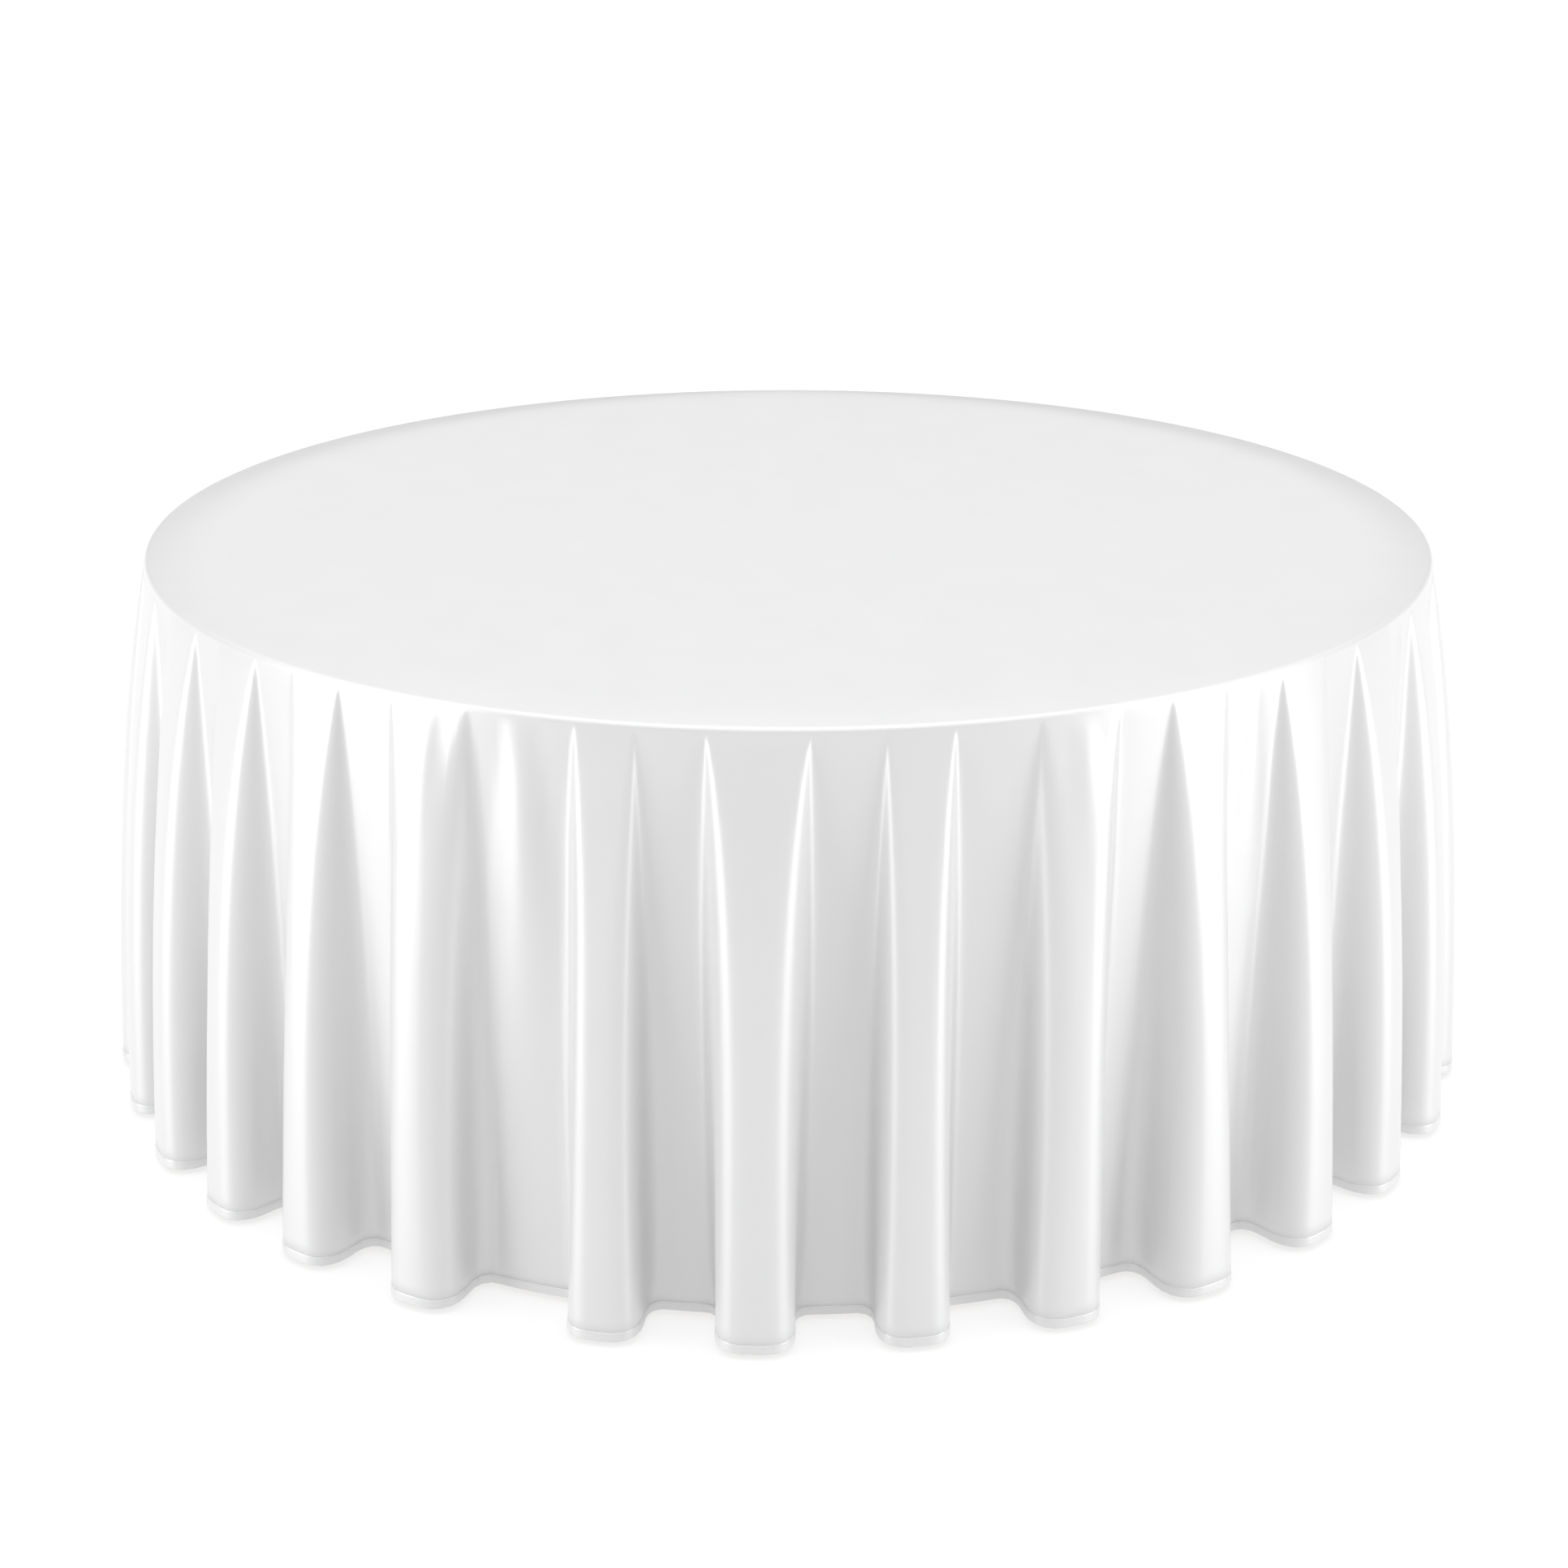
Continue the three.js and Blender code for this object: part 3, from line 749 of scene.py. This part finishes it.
    def columns(self, wall: np.ndarray, stretch: np.ndarray, width: np.ndarray) -> np.ndarray:
        """Places each row's points along the cloth, crowded towards narrow walls.

        Between two walls the places are evenly spaced but for a sine that draws them to both ends.

        Args:
            wall: where each wall stands along its row.
            stretch: cloth from each wall to the next.
            width: each wall's width towards its crest.

        Returns:
            Places along each row, rising from near zero.
        """
        per_wall = self.columns_per_fold // 2
        share = np.arange(per_wall) / per_wall
        fullness = np.clip(2 * width / stretch, 0, 1).mean(axis=1)
        crowd = self.crowding * (1 - fullness)[:, None, None]
        local = share[None, None, :] - crowd * np.sin(FULL_TURN * share)[None, None, :] / FULL_TURN
        return (wall[:, :, None] + stretch[:, :, None] * local).reshape(len(wall), -1)

    def creased(self, angle: np.ndarray, depth: float) -> np.ndarray:
        """Works out how far the creases stand out along a row.

        Each is a rounded ridge that widens from a point at the edge, rises fast and fades below.

        Args:
            angle: each point's bearing in radians.
            depth: the row's depth below the edge.

        Returns:
            How far each point is moved outwards.
        """
        bearing, height, fade = (np.array(c)[:, None] for c in zip(*self.plan.creases))
        spread = self.crease_start + self.crease_widening * depth
        away = ((angle[None, :] - np.radians(bearing) + math.pi) % FULL_TURN - math.pi) * self.radius
        rise = height * depth / (depth + self.crease_rise) * np.exp(-((depth / fade) ** 2))
        return (rise * np.exp(-((away / spread) ** 2))).sum(axis=0)

    def points(self, depth: np.ndarray) -> tuple[np.ndarray, np.ndarray]:
        """Works out rows of the skirt.

        Along a row the direction is the sum of its walls' swings, left walls outwards and right walls
        inwards. The radius is the sum of the direction's sine along the row, and the bearing that of
        its cosine over the radius, eased so that each wall stands at its own bearing.

        Args:
            depth: each row's depth below the edge, along the cloth.

        Returns:
            Points as rows, columns and coordinates, and each point's angle in the flat-cut circle.
        """
        bearing = self.wall_bearings(depth)
        stretch, outer, inner, peak = self.solve(depth, self.spans(bearing))
        fade = np.clip(outer / self.narrowest, 0, 1) * (depth / (depth + self.soft_start))[:, None]
        peak = peak[:, None] * fade
        length = stretch.sum(axis=1)
        wall = np.concatenate([np.zeros((len(depth), 1)), np.cumsum(stretch, axis=1)[:, :-1]], axis=1)
        wall = wall + (bearing / FULL_TURN * length[:, None] - wall).mean(axis=1)[:, None]
        placed = self.columns(wall, stretch, outer)
        sign = np.tile([1.0, -1.0], self.plan.count)
        fine = np.arange(self.fine_steps + 1) / self.fine_steps
        out = np.empty((*placed.shape, 3))
        for row, total in enumerate(length):
            start = placed[row, 0]
            place = start + fine * total
            away = (place[:, None] - wall[row][None, :] + 0.5 * total) % total - 0.5 * total
            towards = away * sign[None, :]
            side = towards / np.where(towards > 0, outer[row][None, :], inner[row][None, :])
            turn = (self.swing.bell(side) * (sign * peak[row])[None, :]).sum(axis=1)
            step = total / self.fine_steps
            rise = np.concatenate([[0], np.cumsum(0.5 * (np.sin(turn[1:]) + np.sin(turn[:-1])))]) * step
            rise -= fine * rise[-1]
            rise -= rise.min()
            radius = self.radius + rise
            pace = np.cos(turn) / radius
            swept = np.concatenate([[0], np.cumsum(0.5 * (pace[1:] + pace[:-1]))]) * step
            swept *= FULL_TURN / swept[-1]
            knots = np.append(wall[row], wall[row][0] + total)
            goal = np.append(bearing[row], bearing[row][0] + FULL_TURN)
            swept += self.eased(place, knots, goal - np.interp(knots, place, swept))
            angle = np.interp(placed[row], place, swept)
            reach = np.interp(placed[row], place, radius) + self.creased(angle, depth[row])
            out[row, :, 0] = reach * np.sin(angle)
            out[row, :, 1] = -reach * np.cos(angle)
            out[row, :, 2] = self.top - depth[row]
        return out, FULL_TURN * placed / length[:, None]

    @staticmethod
    def eased(place: np.ndarray, knots: np.ndarray, values: np.ndarray) -> np.ndarray:
        """Interpolates between knots with a smooth step, level at every knot."""
        index = np.clip(np.searchsorted(knots, place, side="right") - 1, 0, len(knots) - 2)
        span = knots[index + 1] - knots[index]
        t = np.clip((place - knots[index]) / span, 0, 1)
        t = t * t * (3 - 2 * t)
        return values[index] + (values[index + 1] - values[index]) * t


@dataclass
class Tablecloth:
    """The whole cloth: flat top, bend round the edge, skirt, and the hem with its stitches."""

    table_radius: float
    top: float
    hem_height: float
    bend: float = 0.0065
    ease: float = 0.0032
    thickness: float = 0.0006
    bend_rows: int = 6
    flat_rings: int = 7
    ring_power: float = 0.7
    hem_width: float = 0.012
    hem_levels: tuple[float, float, float] = (0.35, 0.7, 0.93)
    hem_taper: float = 0.6
    hem_proud: float = 0.0005
    stitch_pitch: float = 0.0034
    stitch_length: float = 0.0026
    stitch_radius: float = 0.00024
    stitch_inset: float = 0.0022

    def __post_init__(self) -> None:
        """Works out the sizes that follow from the table's."""
        self.radius = self.table_radius + self.ease
        self.crease = self.top - self.bend
        arc = 0.5 * math.pi * self.bend
        self.flat_start = self.radius - self.bend + arc
        self.drop = self.crease - self.hem_height
        self.cut_radius = self.flat_start + self.drop
        self.skirt = Skirt(self.radius, self.crease, self.drop, self.flat_start)

    def surface(self) -> tuple[np.ndarray, np.ndarray]:
        """Joins the top, the bend and the skirt into one grid.

        The top's rings are circles. The bend is a quarter circle from the flat top to upright.

        Returns:
            Points as rows, columns and coordinates, and the flat-cut place of each.
        """
        depths = self.skirt.depths()
        skirt, theta = self.skirt.points(depths)
        bearing = np.arctan2(skirt[0, :, 0], -skirt[0, :, 1])
        around = np.stack([np.sin(bearing), -np.cos(bearing)], axis=1)
        inner = self.radius - self.bend
        rings = inner * np.linspace(0, 1, self.flat_rings + 1)[1:] ** self.ring_power
        angle = np.linspace(0, math.pi / 2, self.bend_rows + 1)[1:-1]
        reach = np.concatenate([rings, inner + self.bend * np.sin(angle)])
        height = np.concatenate([np.full(len(rings), self.top), self.crease + self.bend * np.cos(angle)])
        level = np.broadcast_to(height[:, None, None], (len(height), len(bearing), 1))
        upper = np.concatenate([reach[:, None, None] * around[None], level], axis=2)
        cut = np.concatenate([rings, inner + self.bend * angle, self.flat_start + depths])
        theta = np.concatenate([np.repeat(theta[:1], len(reach), axis=0), theta])
        flat_cut = cut[:, None, None] * np.stack([np.sin(theta), -np.cos(theta)], axis=2)
        return np.concatenate([upper, skirt]), flat_cut

    def build_cloth(self) -> bpy.types.Object:
        """Makes the cloth as a closed thin shell with the surface as its outer face.

        Returns:
            The cloth.
        """
        grid, flat_cut = self.surface()
        rows, columns = grid.shape[:2]
        points = np.concatenate([[[0, 0, self.top]], grid.reshape(-1, 3)])
        ring = np.arange(columns)
        fan = np.stack([np.zeros(columns, int), 1 + ring, 1 + (ring + 1) % columns], axis=1)
        cloth = new_mesh("tablecloth", points, [fan, grid_faces(rows, columns, offset=1)])
        set_uv(cloth, "flat_cut", np.concatenate([[[0, 0]], flat_cut.reshape(-1, 2)]))
        shell = cloth.modifiers.new("thickness", "SOLIDIFY")
        shell.thickness = self.thickness
        shell.offset = -1
        return cloth

    def frames(self, depths: np.ndarray) -> tuple[np.ndarray, np.ndarray, np.ndarray, np.ndarray]:
        """Finds places on the skirt with the directions along the row and out of the cloth.

        Args:
            depths: each row's depth below the edge.

        Returns:
            Points, unit directions along the row, unit directions outwards, and flat-cut angles.
        """
        points, theta = self.skirt.points(depths)
        along = np.roll(points, -1, axis=1) - np.roll(points, 1, axis=1)
        along /= np.linalg.norm(along, axis=2, keepdims=True)
        outward = np.stack([along[..., 1], -along[..., 0], np.zeros_like(along[..., 0])], axis=2)
        return points, along, outward, theta

    def build_hem(self) -> bpy.types.Object:
        """Makes the turned-up hem: a flat loop of cloth round the skirt's edge, closed on itself.

        Its section is a rounded strip, a little proud of the cloth on both faces, rolled at the foot.

        Returns:
            The hem.
        """
        half = self.hem_proud + 0.5 * self.thickness
        middle = -0.5 * self.thickness
        roll = np.linspace(0, math.pi, 7)
        foot_out, foot_up = middle + half * np.cos(roll), half * (1 - np.sin(roll))
        rise = np.array(self.hem_levels) * self.hem_width
        taper = self.hem_taper * half
        out = np.concatenate([foot_out, np.full(len(rise), middle - half), [middle - taper]])
        up = np.concatenate([foot_up, rise, [self.hem_width]])
        out = np.concatenate([out, [middle + taper], np.full(len(rise), middle + half)])
        up = np.concatenate([up, [self.hem_width], rise[::-1]])
        points, _, outward, theta = self.frames(self.drop - up)
        grid = points + out[:, None, None] * outward
        grid = np.concatenate([grid, grid[:1]])
        rows, columns = len(out), grid.shape[1]
        faces = grid_faces(rows + 1, columns, flip=True)
        faces %= rows * columns
        hem = new_mesh("tablecloth_hem_band", grid[:-1].reshape(-1, 3), [faces])
        cut = (self.cut_radius - up)[:, None, None] * np.stack([np.sin(theta), -np.cos(theta)], axis=2)
        set_uv(hem, "flat_cut", cut.reshape(-1, 2))
        return hem

    def build_stitches(self) -> bpy.types.Object:
        """Makes the hem's row of stitches as short rounded threads laid along the skirt.

        Returns:
            The stitches.
        """
        up = self.hem_width - self.stitch_inset
        points, along, outward, _ = (a[0] for a in self.frames(np.array([self.drop - up])))
        reach = np.linalg.norm(np.roll(points, -1, axis=0) - points, axis=1)
        run = np.concatenate([[0], np.cumsum(reach)])
        count = int(run[-1] / self.stitch_pitch)
        at = (np.arange(count) + 0.5) * run[-1] / count
        closed = [np.concatenate([a, a[:1]]) for a in (points, along, outward)]
        place, way, out = (np.stack([np.interp(at, run, a[:, i]) for i in range(3)], axis=1) for a in closed)
        lie = np.array([-1.0, -0.72, 0.0, 0.72, 1.0]) * 0.5 * self.stitch_length
        girth = np.array([0.25, 0.8, 1.0, 0.8, 0.25]) * self.stitch_radius
        sink = np.array([-0.7, 0.1, 0.5, 0.1, -0.7]) * self.stitch_radius
        rings, sides = len(lie), 6
        turn = np.arange(sides) * FULL_TURN / sides
        spine = place[:, None] + lie[None, :, None] * way[:, None]
        spine = spine + (self.hem_proud + sink)[None, :, None] * out[:, None]
        across = np.cos(turn)[:, None, None] * out[None] + np.sin(turn)[:, None, None] * np.array([0, 0, 1.0])
        body = spine[:, :, None] + girth[None, :, None, None] * np.moveaxis(across, 0, 1)[:, None]
        tube = grid_faces(rings, sides)
        caps = np.stack([np.arange(sides), (rings - 1) * sides + np.arange(sides)[::-1]])
        offset = rings * sides * np.arange(count)[:, None, None]
        return new_mesh(
            "tablecloth_hem_stitches", body.reshape(-1, 3),
            [(tube[None] + offset).reshape(-1, 4), (caps[None] + offset).reshape(-1, sides)],
        )


def underframe(materials: dict[Slot, bpy.types.Material]) -> None:
    """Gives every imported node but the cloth's the material of its slot.

    Args:
        materials: each slot's material.
    """
    slots = {row["node"]: row["material_slot"] for row in frame["record"]["subparts"]}
    for name, node in frame["nodes"].items():
        if slots[name] == Slot.SATIN.value:
            continue
        node.data.materials.clear()
        node.data.materials.append(materials[Slot(slots[name])])


# ---- The studio ---------------------------------------------------------------------------------


@dataclass
class Studio:
    """A plain pale floor, a soft surround, two side lights and the camera."""

    top: float
    lens: float = 62.27
    sensor: float = 36.0
    distance: float = 3.7805
    rise: float = 0.9988
    aside: float = -0.006
    pitch: float = 20.316
    horizon: float = 0.08
    zenith: float = 2.2
    haze: float = 0.8
    haze_top: float = 0.1
    floor_half: float = 60.0
    floor_shade: float = 0.24
    floor_glow: float = 0.74
    side_bearing: float = 68.0
    side_distance: float = 6.0
    side_height: float = 1.75
    side_size: tuple[float, float] = (3.6, 3.4)
    side_power: float = 160.0
    aim_height: float = 0.45

    def build_surround(self) -> None:
        """Lights the scene from all round.

        The strength is a small constant, plus the square of the height, plus a haze that is
        strongest at the horizon and gone a little above and below it.
        """
        world = bpy.data.worlds.new("surround")
        world.use_nodes = True
        sky = NodeSheet(world.node_tree)
        split = sky.add("ShaderNodeSeparateXYZ")
        sky.link(sky.add("ShaderNodeTexCoord").outputs["Generated"], split.inputs[0])
        high = sky.math("POWER", sky.math("MAXIMUM", split.outputs["Z"], 0.0), 2.0)
        dome = sky.math("MULTIPLY_ADD", high, self.zenith, self.horizon)
        above = sky.math("DIVIDE", sky.math("ABSOLUTE", split.outputs["Z"]), self.haze_top)
        haze = sky.math("MULTIPLY", sky.math("SUBTRACT", 1.0, sky.math("MINIMUM", above, 1.0)), self.haze)
        background = world.node_tree.nodes["Background"]
        background.inputs["Color"].default_value = (1, 1, 1, 1)
        sky.link(sky.math("ADD", dome, haze), background.inputs["Strength"])
        bpy.context.scene.world = world

    def build_floor(self) -> None:
        """Lays the pale floor, which glows of itself so that it stays white."""
        square = np.array([[-1, -1, 0], [1, -1, 0], [1, 1, 0], [-1, 1, 0]], float)
        floor = new_mesh("floor", self.floor_half * square, [np.array([[0, 1, 2, 3]])])
        paint = bpy.data.materials.new("pale_floor")
        paint.use_nodes = True
        shader = paint.node_tree.nodes["Principled BSDF"]
        shader.inputs["Base Color"].default_value = (*[self.floor_shade] * 3, 1)
        shader.inputs["Roughness"].default_value = 1.0
        shader.inputs["Specular IOR Level"].default_value = 0.0
        shader.inputs["Emission Color"].default_value = (1, 1, 1, 1)
        shader.inputs["Emission Strength"].default_value = self.floor_glow
        floor.data.materials.append(paint)

    def build_side_light(self, name: str, side: int) -> None:
        """Adds a large soft light that faces the table.

        Args:
            name: the light's name.
            side: -1 for the left, 1 for the right.
        """
        data = bpy.data.lights.new(name, "AREA")
        data.shape = "RECTANGLE"
        data.size, data.size_y = self.side_size
        data.energy = self.side_power
        bearing = math.radians(self.side_bearing * side)
        out, front = self.side_distance * math.sin(bearing), -self.side_distance * math.cos(bearing)
        place = Vector((out, front, self.side_height))
        light = bpy.data.objects.new(name, data)
        light.location = place
        light.visible_camera = False
        light.rotation_euler = (Vector((0, 0, self.aim_height)) - place).to_track_quat("-Z", "Y").to_euler()
        bpy.context.scene.collection.objects.link(light)

    def build_camera(self) -> None:
        """Sets up the camera, about a metre above the cloth's top."""
        data = bpy.data.cameras.new("camera")
        data.lens = self.lens
        data.sensor_width = self.sensor
        camera = bpy.data.objects.new("camera", data)
        camera.location = (self.aside, -self.distance, self.top + self.rise)
        camera.rotation_euler = Euler((math.radians(90 - self.pitch), 0, 0))
        bpy.context.scene.collection.objects.link(camera)
        bpy.context.scene.camera = camera

    def build(self) -> None:
        """Builds the surround, the floor, the lights and the camera."""
        bpy.context.scene.view_settings.view_transform = "Standard"
        self.build_surround()
        self.build_floor()
        self.build_side_light("side_light_left", -1)
        self.build_side_light("side_light_right", 1)
        self.build_camera()


def main() -> None:
    """Builds the object and its studio, and reports each piece."""
    _, top_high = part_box("tablecloth_top")
    _, band_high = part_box("edge_band")
    hem_low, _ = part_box("tablecloth_hem")
    materials = finishes()
    cloth = Tablecloth(table_radius=band_high[0], top=top_high[2], hem_height=hem_low[2])
    satin = materials[Slot.SATIN]
    sheet = dress(cloth.build_cloth(), satin, Body.CLOTH)
    hem = dress(cloth.build_hem(), satin, Body.CLOTH)
    stitches = dress(cloth.build_stitches(), satin, Body.CLOTH)
    nodes = list(frame["record"]["behaviour"]["bodies"][Body.CLOTH.value])
    nodes.remove("tablecloth_hem")
    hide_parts(*nodes)
    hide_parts("tablecloth_hem")
    underframe(materials)
    Studio(top=cloth.top).build()


if __name__ == "__main__":
    main()
